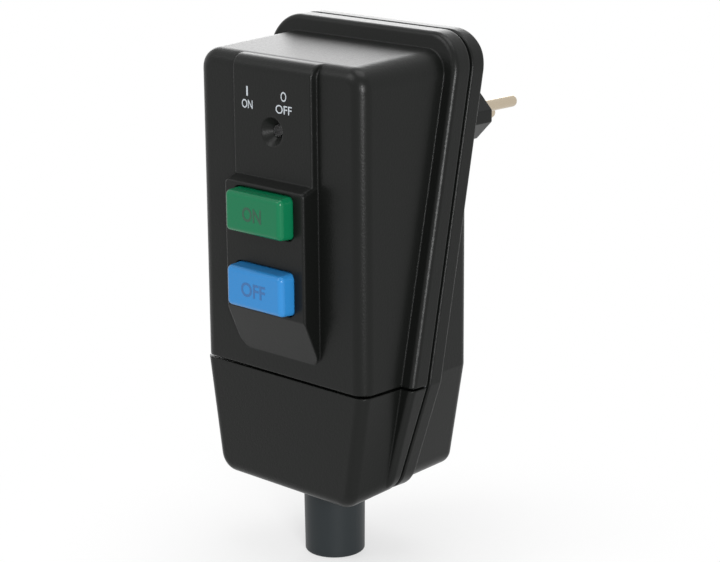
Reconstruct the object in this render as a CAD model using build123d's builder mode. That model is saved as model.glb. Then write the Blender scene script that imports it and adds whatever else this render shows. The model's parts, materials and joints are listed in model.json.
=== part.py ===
from build123d import *
import math
import os

os.makedirs("parts", exist_ok=True)

# Adapter plug with a residual current switch, in millimetres.
# +X is to the right of the front, +Y goes into the wall socket and +Z is up.
# The origin is the centre of the plug's contact face.
# Depths count back from the front face, heights count up from the seam between the front covers.

# Whole body
body_depth = 50.0
nose_reach = 32.2
plug_height = 74.15
wall = 2.5
overrun = 1.0
rim_top_depth = 4.48
joint_depth = 23.9
joint_gap = 1.0
running_gap = 0.3
bore_gap = 0.05
seat_gap = 0.1

# Upper front cover
box_half_width = 36.0
box_height = 101.1
box_side_draft_angle = 1.2
box_top_draft_angle = 2.8
box_corner_radius = 6.5
box_back_corner_radius = 8.5
box_edge_radius = 4.6
seam_gap = 0.9
small_edge_radius = 0.5

# Flange of the covers and rim of the rear shell
flange_half_width = 41.2
flange_rise = 7.0
flange_thickness = 7.4
flange_corner_radius = 12.2
flange_edge_radius = 1.9
joint_edge_radius = 0.6
rim_thickness = 5.7
rim_edge_radius = 0.8
low_flange_height = 35.2
low_flange_tilt_share = 0.6
low_flange_narrowing = 6.9
low_flange_corner_radius = 8.0

# Lower terminal cover
low_height = 39.4
low_back_height = 35.4
low_front_narrowing = 6.9
low_back_narrowing = 1.9
low_corner_radius = 7.0
low_edge_radius = 3.6

# Raised label panel and button platform on the front
panel_half_width = 17.5
panel_rise = 2.3
panel_draft_angle = 9.0
platform_slope = 1.7
panel_edge_radius = 0.6
platform_corner_radius = 1.4
platform_edge_radius = 0.7
panel_top_radius = 4.2
platform_rise = 6.5
platform_reach = 8.15
platform_wall = 2.2
ramp_drop = 8.2
ramp_foot = 6.6
ramp_corner_radius = 4.0

# Window, lens and turning flag
window_drop = 22.3
window_mouth_radius = 4.7
window_throat_radius = 2.0
window_cone_depth = 2.7
lens_radius = 4.0
lens_thickness = 1.2
lens_step = 0.7
flag_gap = 0.5
flag_radius = 13.2
flag_skin = 1.2
flag_half_width = 4.4
flag_web = 1.6
flag_hub_radius = 2.2
flag_pin_radius = 1.0
flag_upper_angle = 16.0
flag_lower_angle = 51.0
target_thickness = 0.4
target_upper_angle = 17.5
flag_swing_angle = 34.377
fork_reach = 6.8
fork_half_width = 2.2
fork_thickness = 1.4
fork_slot_half_width = 1.0
fork_spread = 1.6
drive_drop = 4.85
drive_radius = 0.8

# Push buttons
button_half_width = 12.9
button_half_height = 6.9
button_rise = 5.0
button_draft_angle = 4.0
button_corner_radius = 2.0
button_edge_radius = 1.8
button_gap = 0.3
button_lip = 0.8
button_lip_thickness = 1.5
stem_radius = 2.0
stem_gap = 0.2
reset_drop = 24.75
button_pitch = 24.05
reset_travel = 3.0
test_travel = 2.0
test_stem_end = 12.0
neck_radius = 1.2
neck_gap = 0.2

# Frame that carries the switch
frame_half_width = 19.0
frame_wall = 2.0
frame_front = 8.0
frame_foot = 14.5
frame_reach = 11.95
guide_radius = 3.4
guide_length = 3.0
ear_inside = 6.3
ear_thickness = 2.0
ear_rise = 3.2
ear_reach = 3.0

# Sliding contact carriage and its latch plate
carriage_front = 21.0
carriage_thickness = 8.0
carriage_half_width = 15.0
carriage_half_height = 7.0
carriage_travel = 3.0
tongue_reach = 0.7
tongue_half_height = 1.75
tongue_inset = 1.0
finger_half_width = 1.0
finger_thickness = 3.0
finger_bar = 2.0
plate_thickness = 1.0
plate_half_width = 5.0
plate_inset = 5.3
plate_top_drop = 1.0
tab_half_width = 3.0
tab_drop = 2.5
latch_travel = 2.0

# Contacts
contact_x = 11.0
contact_spread = 4.0
strap_width = 4.0
strap_thickness = 0.8
fixed_tip_radius = 1.6
contact_gap = 0.3
bridge_width = 3.6
bridge_thickness = 1.0
bridge_half_height = 6.0
moving_tip_radius = 1.5
moving_tip_height = 0.4

# Trip relay
relay_half_width = 9.0
relay_foot = 16.0
relay_front = 18.0
relay_wall = 1.2
plunger_radius = 1.5
plunger_gap = 0.2
plunger_head_radius = 3.0
plunger_head_thickness = 1.2
plunger_insertion_share = 0.4
plunger_spring_length = 7.05
coil_radius = 5.8
magnet_radius = 5.6
magnet_share = 0.2

# Springs
reset_spring_radius = 4.05
reset_spring_wire = 0.6
reset_spring_turns = 6
carriage_spring_radius = 3.0
carriage_spring_wire = 0.5
carriage_spring_turns = 7
plunger_spring_radius = 2.2
plunger_spring_wire = 0.4
plunger_spring_turns = 6

# Circuit board and what stands on it
board_back_gap = 6.5
board_thickness = 1.6
board_half_width = 29.0
board_foot = 12.0
board_drop = 17.1
board_screw_x = 26.0
board_screw_inset = 4.0
board_post_radius = 2.8
board_screw_radius = 1.1
board_screw_head = 2.1
board_screw_head_height = 1.3
board_screw_length = 5.0
capacitor_half_width = 3.9
capacitor_half_height = 7.0
capacitor_depth = 8.0
part_column = 24.4
varistor_radius = 3.9
varistor_depth = 5.0
chip_half_width = 3.1
chip_half_height = 4.9
chip_depth = 1.7
resistor_radius = 1.3
resistor_length = 9.0

# Sense core
core_back_gap = 13.1
core_outer_radius = 9.3
core_inner_radius = 5.4
core_thickness = 7.4
winding_thickness = 0.8
wire_radius = 1.3
wire_spread = 2.4
wire_bend_radius = 3.0

# Plug body, hexagonal nose and pins
base_half_width = 21.0
base_half_height = 16.5
base_depth = 10.0
base_corner_radius = 6.0
base_edge_radius = 1.5
base_lip = 1.5
nose_half_width = 16.3
nose_half_height = 8.5
nose_tip_half_height = 2.0
nose_edge_radius = 0.8
nose_face_radius = 0.5
pin_radius = 2.0
pin_length = 19.0
pin_tip_radius = 1.4
pin_half_pitch = 9.5
pin_line_rise = 1.7
earth_offset = 5.0
pin_inner_reach = 4.7
pin_shank_radius = 1.8
pin_shoulder_gap = 0.3
pin_seat_gap = 0.3
pin_seat_depth = 1.2

# Earth strap and terminal block
earth_strap_half_width = 2.8
earth_strap_thickness = 0.8
earth_strap_reach = 3.1
terminal_half_width = 17.0
terminal_top = -4.0
terminal_foot = -15.0
terminal_block_depth = 17.5
terminal_pitch = 10.0
terminal_bore_radius = 2.4
terminal_screw_radius = 1.4
terminal_head_radius = 2.2
terminal_head_height = 1.5
terminal_screw_length = 6.0

# Cable clamp and sleeve
cable_radius = 5.2
cable_depth = 23.2
clamp_height = -24.0
clamp_half_height = 3.0
clamp_half_width = 13.0
clamp_thickness = 4.0
clamp_post_x = 9.4
clamp_post_radius = 3.2
clamp_screw_radius = 1.4
clamp_head_radius = 2.6
clamp_head_height = 1.8
clamp_screw_length = 10.0
sleeve_top_radius = 10.1
sleeve_foot_radius = 9.8
sleeve_length = 27.7
sleeve_neck_radius = 8.4
sleeve_lip_radius = 10.2
sleeve_lip_thickness = 1.6
sleeve_edge_radius = 0.8

# Housing screws
screw_radius = 1.5
screw_head_radius = 2.9
screw_head_height = 2.0
screw_sink = 5.0
screw_bite = 12.0
boss_radius = 3.6
post_radius = 4.2
upper_screw_x = 28.0
upper_screw_drop = 8.1
lower_screw_height = 7.2
terminal_screw_x = 22.0
terminal_cover_screw_height = -19.0
driver_slot = 0.6

# Rear shell
rear_half_width = 35.7
rear_rise = 2.1
rear_draft_angle = 2.6
rear_corner_radius = 7.0
rear_edge_radius = 3.0
rear_narrowing = 6.8
rear_floor = 37.0
rear_cavity_half_width = 31.4
rear_cavity_narrowing = 6.4
partition_thickness = 2.2

# Seal in the joint
seal_inset = 1.3
seal_width = 2.2

front_y = -nose_reach - body_depth
seam_z = -plug_height
flange_height = box_height + flange_rise
rear_top = box_height + rear_rise
board_top = box_height - board_drop
upper_screw_height = box_height - upper_screw_drop
joint_tilt = (body_depth - rim_top_depth - joint_depth) / flange_height
rear_inner = body_depth - wall
board_front = rear_inner - board_back_gap
core_depth = rear_inner - core_back_gap
terminal_front = rear_inner - terminal_block_depth
pin_inner_end = rear_inner - pin_inner_reach
earth_strap_front = rear_inner - earth_strap_reach
base_end = body_depth + base_depth
nose_end = body_depth + nose_reach
window_height = box_height - window_drop
reset_height = window_height - reset_drop
test_height = reset_height - button_pitch
platform_top = reset_height + platform_reach
panel_foot = platform_top + platform_slope
ramp_top = test_height - ramp_drop
frame_top = reset_height + frame_reach
ear_foot = frame_top - frame_wall
lens_back = window_cone_depth - panel_rise + lens_step + lens_thickness
flag_pivot_depth = lens_back + flag_gap + target_thickness + flag_radius
flag_pivot_height = window_height
button_front = -platform_rise - button_rise
lip_front = platform_wall - platform_rise + running_gap
lip_back = lip_front + button_lip_thickness
plate_front = carriage_front + plate_inset
plate_back = plate_front + plate_thickness
head_end = plate_front - running_gap
head_length = reset_travel - plate_thickness - running_gap - neck_gap
neck_length = reset_travel + plate_thickness + 2 * running_gap
carriage_foot = reset_height - carriage_half_height
carriage_top = reset_height + carriage_half_height
tab_foot = carriage_foot - tab_drop
plunger_top = tab_foot - running_gap
plunger_depth = plate_front + plate_thickness / 2 - carriage_travel / 2
relay_top = plunger_top - plunger_head_thickness - plunger_spring_length
plunger_insertion = plunger_insertion_share * (relay_top - relay_foot)
drive_depth = flag_pivot_depth + carriage_travel / 2
drive_height = flag_pivot_height - drive_drop
pin_height = plug_height + pin_line_rise
earth_height = pin_height - earth_offset
clamp_seat = cable_depth - clamp_thickness
fixed_tip_end = carriage_front - bridge_thickness - moving_tip_height - carriage_travel - contact_gap
room_floor = wall - low_back_height
rear_room_floor = 2 * wall - rear_floor


def at_y(depth):
    return front_y + depth


def at_z(height):
    return seam_z + height


def facing(depth):
    """Plane that looks to the front at a depth, with local axes X and Z."""
    return Plane.XZ.offset(-at_y(depth))


def backward(depth):
    """Plane that looks to the back at a depth, for outlines that are symmetric in X."""
    return Plane(origin=(0, at_y(depth), 0), x_dir=(-1, 0, 0), z_dir=(0, 1, 0))


def level(height):
    """Plane that looks up at a height, with local axes X and Y."""
    return Plane.XY.offset(at_z(height))


def side(x):
    """Plane that looks to the right, with local axes Y and Z."""
    return Plane.YZ.offset(x)


def leaning(depth, tilt=joint_tilt):
    """Plane that leans like the joint, passes the given depth at the seam and looks back."""
    return Plane(origin=(0, at_y(depth), at_z(0)), x_dir=(1, 0, 0), z_dir=(0, 1, -tilt))


def bar(x0, x1, depth0, depth1, height0, height1, mode=Mode.ADD):
    """Straight block between two depths."""
    with BuildSketch(facing(depth0)) as outline:
        with Locations(((x0 + x1) / 2, at_z((height0 + height1) / 2))):
            Rectangle(x1 - x0, height1 - height0)
    extrude(outline.sketch, amount=depth0 - depth1, mode=mode)


def rod(x, height, radius, depth0, depth1, mode=Mode.ADD):
    """Cylinder along Y."""
    with BuildSketch(facing(depth0)) as outline:
        with Locations((x, at_z(height))):
            Circle(radius)
    extrude(outline.sketch, amount=depth0 - depth1, mode=mode)


def post(x, depth, radius, height0, height1, mode=Mode.ADD):
    """Cylinder along Z."""
    with BuildSketch(level(height0)) as outline:
        with Locations((x, at_y(depth))):
            Circle(radius)
    extrude(outline.sketch, amount=height1 - height0, mode=mode)


def axle(depth, height, radius, x0, x1, mode=Mode.ADD):
    """Cylinder along X."""
    with BuildSketch(side(x0)) as outline:
        with Locations((at_y(depth), at_z(height))):
            Circle(radius)
    extrude(outline.sketch, amount=x1 - x0, mode=mode)


def slab(points, x0, x1, mode=Mode.ADD):
    """Plate with a side outline of depths and heights, between two places along X."""
    with BuildSketch(side(x0)) as outline:
        with BuildLine():
            Polyline([(at_y(depth), at_z(height)) for depth, height in points], close=True)
        make_face()
    extrude(outline.sketch, amount=x1 - x0, mode=mode)


def coil_spring(plane, radius, wire, length, turns):
    """Round wire wound along a plane's axis, standing between two seats a length apart."""
    rise = length - wire - 2 * seat_gap
    with BuildPart() as spring:
        with BuildLine() as path:
            Helix(
                pitch=rise / turns,
                height=rise,
                radius=radius,
                center=plane.origin + plane.z_dir * (wire / 2 + seat_gap),
                direction=plane.z_dir,
            )
        with BuildSketch(Plane(origin=path.line @ 0, z_dir=path.line % 0)):
            Circle(wire / 2)
        sweep(is_frenet=True)
    return spring.part


def finish(builder, name):
    """Name a finished piece and write it."""
    builder.part.label = name
    export_step(builder.part, f"parts/{name}.step")
    print(name, len(builder.part.solids()), round(builder.part.volume, 1))


def body_outline(half_width, top, top_radius, floor, narrowing, floor_radius, depth):
    """Outline of the whole body: upright sides above the seam, narrowing sides below it."""
    with BuildSketch(backward(depth)) as outline:
        with BuildLine():
            Polyline(
                (-half_width, at_z(0)),
                (-half_width, at_z(top)),
                (half_width, at_z(top)),
                (half_width, at_z(0)),
                (half_width - narrowing, at_z(-floor)),
                (narrowing - half_width, at_z(-floor)),
                close=True,
            )
        make_face()
        corners = outline.vertices().sort_by(Axis.Y)
        fillet(corners[:2], floor_radius)
        fillet(outline.vertices().sort_by(Axis.Y)[-2:], top_radius)
    return outline.sketch


def flange_outline(inset, depth):
    """Outline of the flange and of the rim, drawn in by an inset."""
    return body_outline(
        flange_half_width - inset,
        flange_height - inset,
        flange_corner_radius - inset,
        low_flange_height - inset,
        low_flange_narrowing,
        low_flange_corner_radius - inset,
        depth,
    )


def flange_plate(front, back, inset=0.0, front_tilt=joint_tilt):
    """Leaning plate between two depths, with the flange's outline."""
    start = front - joint_tilt * low_height - overrun
    finish_depth = back + joint_tilt * flange_height + overrun
    with BuildPart() as plate:
        extrude(flange_outline(inset, start), amount=finish_depth - start)
        split(bisect_by=leaning(front, front_tilt), keep=Keep.TOP)
        split(bisect_by=leaning(back), keep=Keep.BOTTOM)
    return plate.part


cover_back = joint_depth - joint_gap / 2
shell_front = joint_depth + joint_gap / 2
flange_front = joint_depth - flange_thickness
screw_places = [
    (side_sign * upper_screw_x, height)
    for side_sign in (-1, 1)
    for height in (lower_screw_height, upper_screw_height)
]
terminal_screw_places = [
    (side_sign * terminal_screw_x, terminal_cover_screw_height) for side_sign in (-1, 1)
]


def rounded_plate(front, back, front_radius, back_radius, front_tilt=joint_tilt):
    """Leaning plate with the flange's outline and both its edges rounded."""
    with BuildPart() as plate:
        add(flange_plate(front, back, front_tilt=front_tilt))
        leaning_faces = plate.faces().sort_by(Axis((0, 0, 0), (0, 1, -joint_tilt)))
        fillet(leaning_faces[0].edges(), front_radius)
        leaning_faces = plate.faces().sort_by(Axis((0, 0, 0), (0, 1, -joint_tilt)))
        fillet(leaning_faces[-1].edges(), back_radius)
    return plate.part


def cover_flange(front_tilt=joint_tilt):
    """Flange of a front cover."""
    return rounded_plate(flange_front, cover_back, flange_edge_radius, joint_edge_radius, front_tilt)


# Upper front cover, which widens towards the flange
deepest = cover_back + joint_tilt * box_height + overrun
side_draft = math.tan(math.radians(box_side_draft_angle))
top_draft = math.tan(math.radians(box_top_draft_angle))


def box_outline(depth, corner_radius):
    """Outline of the upper cover's box at a depth."""
    half_width = box_half_width + side_draft * depth
    height = box_height + top_draft * depth
    with BuildSketch(backward(depth)) as outline:
        with Locations((0, at_z(height / 2))):
            Rectangle(2 * half_width, height)
        fillet(outline.vertices().group_by(Axis.Y)[-1], corner_radius)
    return outline.sketch.face()


with BuildPart() as front_cover:
    loft([box_outline(0, box_corner_radius), box_outline(deepest, box_back_corner_radius)], ruled=True)
    front_face = front_cover.faces().sort_by(Axis.Y)[0]
    low_edge = front_face.edges().sort_by(Axis.Z)[0]
    fillet([edge for edge in front_face.edges() if edge != low_edge], box_edge_radius)
    add(cover_flange())
    split(bisect_by=leaning(cover_back), keep=Keep.BOTTOM)
    split(bisect_by=level(seam_gap / 2), keep=Keep.TOP)
    # Label panel, rounded over the top of the box
    with BuildPart(mode=Mode.PRIVATE) as panel:
        panel_end = box_edge_radius + panel_top_radius
        panel_draft = math.tan(math.radians(panel_draft_angle))
        with BuildSketch(level(panel_foot - platform_rise)):
            with BuildLine():
                Polyline(
                    (-panel_half_width - panel_draft * panel_end, at_y(panel_end)),
                    (panel_half_width + panel_draft * panel_end, at_y(panel_end)),
                    (panel_half_width - panel_draft * panel_rise, at_y(-panel_rise)),
                    (panel_draft * panel_rise - panel_half_width, at_y(-panel_rise)),
                    close=True,
                )
            make_face()
        extrude(amount=box_height - panel_foot + platform_rise)
        fillet(panel.faces().sort_by(Axis.Y)[0].edges().sort_by(Axis.Z)[-1], panel_top_radius)
        fillet(panel.faces().sort_by(Axis.Y)[0].edges().filter_by(Axis.Z), panel_edge_radius)
    add(panel.part)
    # Button platform with its ramp
    with BuildPart(mode=Mode.PRIVATE) as platform:
        slab(
            [
                (overrun, ramp_foot - overrun),
                (0, ramp_foot),
                (-platform_rise, ramp_top),
                (-platform_rise, platform_top),
                (-panel_rise, panel_foot),
                (overrun, panel_foot),
            ],
            -panel_half_width,
            panel_half_width,
        )
        with BuildSketch(facing(overrun)) as platform_outline:
            with Locations((0, at_z((panel_foot + ramp_foot) / 2))):
                Rectangle(2 * panel_half_width, panel_foot - ramp_foot)
            fillet(platform_outline.vertices().group_by(Axis.Y)[0], ramp_corner_radius)
        extrude(amount=platform_rise + 2 * overrun, mode=Mode.INTERSECT)
        fillet(
            [
                edge for edge in platform.edges()
                if at_z(platform_top) < edge.center().Z < at_z(panel_foot)
                and abs(edge.center().X) > panel_half_width - small_edge_radius
            ],
            platform_corner_radius,
        )
        platform_face = platform.faces().sort_by(Axis.Y)[0]
        fillet(platform_face.edges(), platform_edge_radius)
    add(platform.part)
    # Hollow inside
    bar(
        -box_half_width + wall, box_half_width - wall,
        wall, deepest,
        seam_gap / 2 + partition_thickness, box_height - wall,
        mode=Mode.SUBTRACT,
    )
    # Bosses for the long screws
    for x, height in screw_places:
        rod(x, height, boss_radius, wall - seat_gap, deepest)
    split(bisect_by=leaning(cover_back), keep=Keep.BOTTOM)
    for x, height in screw_places:
        end = cover_back + joint_tilt * height
        rod(
            x, height, screw_radius + bore_gap, end - screw_bite - overrun,
            end + overrun, mode=Mode.SUBTRACT,
        )
    # Room behind the platform and the openings for the two buttons
    bar(
        -button_half_width - button_lip - button_gap - running_gap,
        button_half_width + button_lip + button_gap + running_gap,
        platform_wall - platform_rise, wall + overrun,
        test_height - button_half_height - button_lip - running_gap,
        reset_height + button_half_height + button_lip + running_gap,
        mode=Mode.SUBTRACT,
    )
    for height in (test_height, reset_height):
        with BuildSketch(facing(-platform_rise - overrun)) as opening:
            with Locations((0, at_z(height))):
                RectangleRounded(
                    2 * (button_half_width + button_gap),
                    2 * (button_half_height + button_gap),
                    button_corner_radius + button_gap,
                )
        extrude(amount=-platform_wall - 2 * overrun, mode=Mode.SUBTRACT)
    # Sunk window with the seat of its lens behind it
    with BuildSketch(facing(-panel_rise)) as mouth:
        with Locations((0, at_z(window_height))):
            Circle(window_mouth_radius)
    with BuildSketch(facing(window_cone_depth - panel_rise)) as throat:
        with Locations((0, at_z(window_height))):
            Circle(window_throat_radius)
    loft(mode=Mode.SUBTRACT)
    rod(0, window_height, window_throat_radius, -overrun, wall + overrun, mode=Mode.SUBTRACT)
    rod(
        0, window_height, lens_radius + bore_gap,
        lens_back - lens_thickness, wall + overrun, mode=Mode.SUBTRACT,
    )
finish(front_cover, "front_cover")

# Lower terminal cover, whose sides narrow more at the front than at the flange
low_back = flange_front + flange_edge_radius


def low_outline(depth, inset=0.0):
    """Outline of the lower cover at a depth in front of the flange."""
    half_width = box_half_width + side_draft * depth
    share = depth / low_back
    floor = low_height + share * (low_back_height - low_height)
    narrowing = low_front_narrowing + share * (low_back_narrowing - low_front_narrowing)
    with BuildSketch(backward(depth)) as outline:
        with BuildLine():
            Polyline(
                (inset - half_width, at_z(0)),
                (half_width - inset, at_z(0)),
                (half_width - narrowing - inset, at_z(inset - floor)),
                (narrowing + inset - half_width, at_z(inset - floor)),
                close=True,
            )
        make_face()
        fillet(outline.vertices().group_by(Axis.Y)[0], low_corner_radius - inset)
    return outline.sketch.face()


with BuildPart() as terminal_cover:
    loft([low_outline(0), low_outline(low_back)], ruled=True)
    front_face = terminal_cover.faces().sort_by(Axis.Y)[0]
    high_edge = front_face.edges().sort_by(Axis.Z)[-1]
    fillet([edge for edge in front_face.edges() if edge != high_edge], low_edge_radius)
    extrude(low_outline(low_back), amount=cover_back - low_back, dir=(0, 1, 0))
    add(cover_flange(low_flange_tilt_share * joint_tilt))
    split(bisect_by=leaning(cover_back), keep=Keep.BOTTOM)
    split(bisect_by=level(-seam_gap / 2), keep=Keep.BOTTOM)
    # Hollow inside, open at the top and at the back
    loft([low_outline(wall, wall), low_outline(low_back, wall)], ruled=True, mode=Mode.SUBTRACT)
    extrude(low_outline(low_back, wall), amount=cover_back - low_back, dir=(0, 1, 0), mode=Mode.SUBTRACT)
    for x, height in terminal_screw_places:
        rod(x, height, boss_radius, wall - seat_gap, cover_back)
    split(bisect_by=leaning(cover_back), keep=Keep.BOTTOM)
    for x, height in terminal_screw_places:
        end = cover_back + joint_tilt * height
        rod(
            x, height, screw_radius + bore_gap, end - screw_bite - overrun,
            end + overrun, mode=Mode.SUBTRACT,
        )
    # Half of the hole that holds the cable sleeve
    post(
        0, cable_depth, sleeve_neck_radius + seat_gap,
        -low_height - overrun, room_floor + overrun, mode=Mode.SUBTRACT,
    )
finish(terminal_cover, "terminal_cover")

# Rear shell with its rim, its screw posts and the opening for the plug
shell_start = joint_depth - joint_tilt * low_height
with BuildPart() as rear_shell:
    rear_outline = body_outline(
        rear_half_width, rear_top, rear_corner_radius,
        rear_floor, rear_narrowing, low_corner_radius, shell_start,
    )
    extrude(rear_outline, amount=body_depth - shell_start, taper=rear_draft_angle)
    back_face = rear_shell.faces().sort_by(Axis.Y)[-1]
    fillet(back_face.edges(), rear_edge_radius)
    add(rounded_plate(shell_front, shell_front + rim_thickness, joint_edge_radius, rim_edge_radius))
    split(bisect_by=leaning(shell_front), keep=Keep.TOP)
    split(bisect_by=facing(body_depth), keep=Keep.TOP)
    # Upper and lower rooms with the partition between them
    with BuildSketch(backward(shell_start)) as upper_room:
        with Locations((0, at_z((partition_thickness + box_height - wall) / 2))):
            Rectangle(2 * rear_cavity_half_width, box_height - wall - partition_thickness)
        fillet(upper_room.vertices().group_by(Axis.Y)[-1], rear_corner_radius - wall)
    extrude(amount=rear_inner - shell_start, mode=Mode.SUBTRACT)
    with BuildSketch(backward(shell_start)) as lower_room:
        with BuildLine():
            Polyline(
                (-rear_cavity_half_width, at_z(0)),
                (rear_cavity_half_width, at_z(0)),
                (rear_cavity_half_width - rear_cavity_narrowing, at_z(rear_room_floor)),
                (rear_cavity_narrowing - rear_cavity_half_width, at_z(rear_room_floor)),
                close=True,
            )
        make_face()
        fillet(lower_room.vertices().group_by(Axis.Y)[0], low_corner_radius - wall)
    extrude(amount=rear_inner - shell_start, mode=Mode.SUBTRACT)
    # Posts for the housing screws, the circuit board, the cable clamp
    for x, height in screw_places + terminal_screw_places:
        rod(x, height, post_radius, joint_depth - joint_tilt * low_height, body_depth - overrun)
    split(bisect_by=leaning(shell_front), keep=Keep.TOP)
    for x, height in screw_places + terminal_screw_places:
        start = shell_front + joint_tilt * height
        rod(
            x, height, screw_radius + seat_gap, start - 2 * overrun,
            body_depth + overrun, mode=Mode.SUBTRACT,
        )
        rod(
            x, height, screw_head_radius + running_gap, body_depth - screw_sink,
            body_depth + overrun, mode=Mode.SUBTRACT,
        )
    for x in (-board_screw_x, board_screw_x):
        for height in (board_foot + board_screw_inset, board_top - board_screw_inset):
            rod(x, height, board_post_radius, board_front + board_thickness, rear_inner + seat_gap)
            rod(x, height, board_screw_radius + bore_gap, board_front, rear_inner, mode=Mode.SUBTRACT)
    for x in (-clamp_post_x, clamp_post_x):
        rod(x, clamp_height, clamp_post_radius, clamp_seat, rear_inner + seat_gap)
    bar(
        -clamp_post_x, clamp_post_x, cable_depth + cable_radius, rear_inner + seat_gap,
        clamp_height - clamp_half_height, clamp_height + clamp_half_height,
    )
    post(
        0, cable_depth, cable_radius + running_gap, clamp_height - 2 * clamp_half_height,
        clamp_height + 2 * clamp_half_height, mode=Mode.SUBTRACT,
    )
    for x in (-clamp_post_x, clamp_post_x):
        rod(x, clamp_height, clamp_screw_radius + bore_gap, clamp_seat - overrun,
            clamp_seat + clamp_screw_length, mode=Mode.SUBTRACT)
    # Way through the partition for the two wires and the earth strap
    post(
        0, core_depth, core_inner_radius - wire_radius, -overrun,
        partition_thickness + overrun, mode=Mode.SUBTRACT,
    )
    bar(
        -earth_strap_half_width - seat_gap, earth_strap_half_width + seat_gap,
        earth_strap_front - seat_gap, earth_strap_front + earth_strap_thickness + seat_gap,
        -overrun, partition_thickness + overrun, mode=Mode.SUBTRACT,
    )
    # Opening for the plug body, and half of the hole for the cable sleeve
    with BuildSketch(backward(rear_inner - overrun)) as plug_opening:
        with Locations((0, at_z(plug_height))):
            RectangleRounded(
                2 * (base_half_width + seat_gap), 2 * (base_half_height + seat_gap),
                base_corner_radius + seat_gap,
            )
    extrude(amount=wall + 2 * overrun, mode=Mode.SUBTRACT)
    post(
        0, cable_depth, sleeve_neck_radius + seat_gap,
        -low_height - overrun, rear_room_floor + overrun, mode=Mode.SUBTRACT,
    )
finish(rear_shell, "rear_shell")

# Rubber seal between the covers and the rear shell, set back in the groove
with BuildPart() as housing_seal:
    add(flange_plate(cover_back, shell_front, seal_inset))
    add(flange_plate(cover_back, shell_front, seal_inset + seal_width), mode=Mode.SUBTRACT)
    post(
        0, cable_depth, sleeve_neck_radius + 2 * seat_gap,
        -low_height, -low_height / 2, mode=Mode.SUBTRACT,
    )
finish(housing_seal, "housing_seal")

# Plug base, held by its lip inside the rear shell, and the six-sided nose
pin_places = ((-pin_half_pitch, pin_height), (pin_half_pitch, pin_height), (0, earth_height))
with BuildPart() as plug_base:
    with BuildSketch(backward(rear_inner - base_lip)) as lip_outline:
        with Locations((0, at_z(plug_height))):
            RectangleRounded(
                2 * (base_half_width + base_lip), 2 * (base_half_height + base_lip),
                base_corner_radius + base_lip,
            )
    extrude(amount=base_lip)
    with BuildSketch(backward(rear_inner)) as base_outline:
        with Locations((0, at_z(plug_height))):
            RectangleRounded(2 * base_half_width, 2 * base_half_height, base_corner_radius)
    extrude(amount=wall + base_depth)
    fillet(plug_base.faces().sort_by(Axis.Y)[-1].edges(), base_edge_radius)
    for x, height in pin_places:
        rod(x, height, pin_shank_radius + bore_gap, pin_inner_end, base_end + overrun, mode=Mode.SUBTRACT)
finish(plug_base, "plug_base")

with BuildPart() as plug_nose:
    nose_slope = nose_half_height - nose_tip_half_height
    with BuildSketch(backward(base_end)) as nose_outline:
        with BuildLine():
            Polyline(
                (nose_half_width, at_z(plug_height + nose_tip_half_height)),
                (nose_half_width - nose_slope, at_z(plug_height + nose_half_height)),
                (nose_slope - nose_half_width, at_z(plug_height + nose_half_height)),
                (-nose_half_width, at_z(plug_height + nose_tip_half_height)),
                (-nose_half_width, at_z(plug_height - nose_tip_half_height)),
                (nose_slope - nose_half_width, at_z(plug_height - nose_half_height)),
                (nose_half_width - nose_slope, at_z(plug_height - nose_half_height)),
                (nose_half_width, at_z(plug_height - nose_tip_half_height)),
                close=True,
            )
        make_face()
        fillet(nose_outline.vertices(), nose_edge_radius)
    extrude(amount=nose_end - base_end)
    fillet(plug_nose.faces().sort_by(Axis.Y)[-1].edges(), nose_face_radius)
    for x, height in pin_places:
        rod(
            x, height, pin_shank_radius + bore_gap, base_end - overrun,
            nose_end + overrun, mode=Mode.SUBTRACT,
        )
        rod(
            x, height, pin_radius + pin_seat_gap, nose_end - pin_seat_depth,
            nose_end + overrun, mode=Mode.SUBTRACT,
        )
finish(plug_nose, "plug_nose")

# The three round pins, thinner where they pass through the plug
for name, (x, height) in zip(("line_pin", "neutral_pin", "earth_pin"), pin_places):
    with BuildPart() as pin:
        rod(x, height, pin_shank_radius, pin_inner_end, nose_end + pin_shoulder_gap)
        rod(x, height, pin_radius, nose_end + pin_shoulder_gap, nose_end + pin_length)
        fillet(pin.faces().sort_by(Axis.Y)[-1].edges(), pin_tip_radius)
    finish(pin, name)

# Push buttons with their lips and stems
for name, height in (("reset_button", reset_height), ("test_button", test_height)):
    with BuildPart() as button:
        with BuildSketch(facing(lip_front)) as cap_outline:
            with Locations((0, at_z(height))):
                RectangleRounded(2 * button_half_width, 2 * button_half_height, button_corner_radius)
        extrude(amount=lip_front - button_front, taper=button_draft_angle)
        fillet(button.faces().sort_by(Axis.Y)[0].edges(), button_edge_radius)
        bar(
            -button_half_width - button_lip, button_half_width + button_lip,
            lip_front, lip_back,
            height - button_half_height - button_lip, height + button_half_height + button_lip,
        )
        if name == "reset_button":
            rod(0, height, stem_radius, lip_back - seat_gap, head_end)
            neck_start = head_end - head_length - neck_length
            with BuildSketch(facing(neck_start)) as neck:
                with Locations((0, at_z(height))):
                    Circle(stem_radius + overrun)
                    Circle(neck_radius, mode=Mode.SUBTRACT)
            extrude(amount=-neck_length, mode=Mode.SUBTRACT)
            chamfer(button.faces().sort_by(Axis.Y)[-1].edges(), head_length / 2)
        else:
            rod(0, height, stem_radius, lip_back - seat_gap, test_stem_end)
    finish(button, name)

# Return springs of the buttons
for name, height in (("reset_spring", reset_height), ("test_spring", test_height)):
    start = Plane(origin=(0, at_y(lip_back), at_z(height)), z_dir=(0, 1, 0))
    with BuildPart() as button_spring:
        add(coil_spring(
            start, reset_spring_radius, reset_spring_wire, frame_front - lip_back, reset_spring_turns,
        ))
    finish(button_spring, name)

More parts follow.
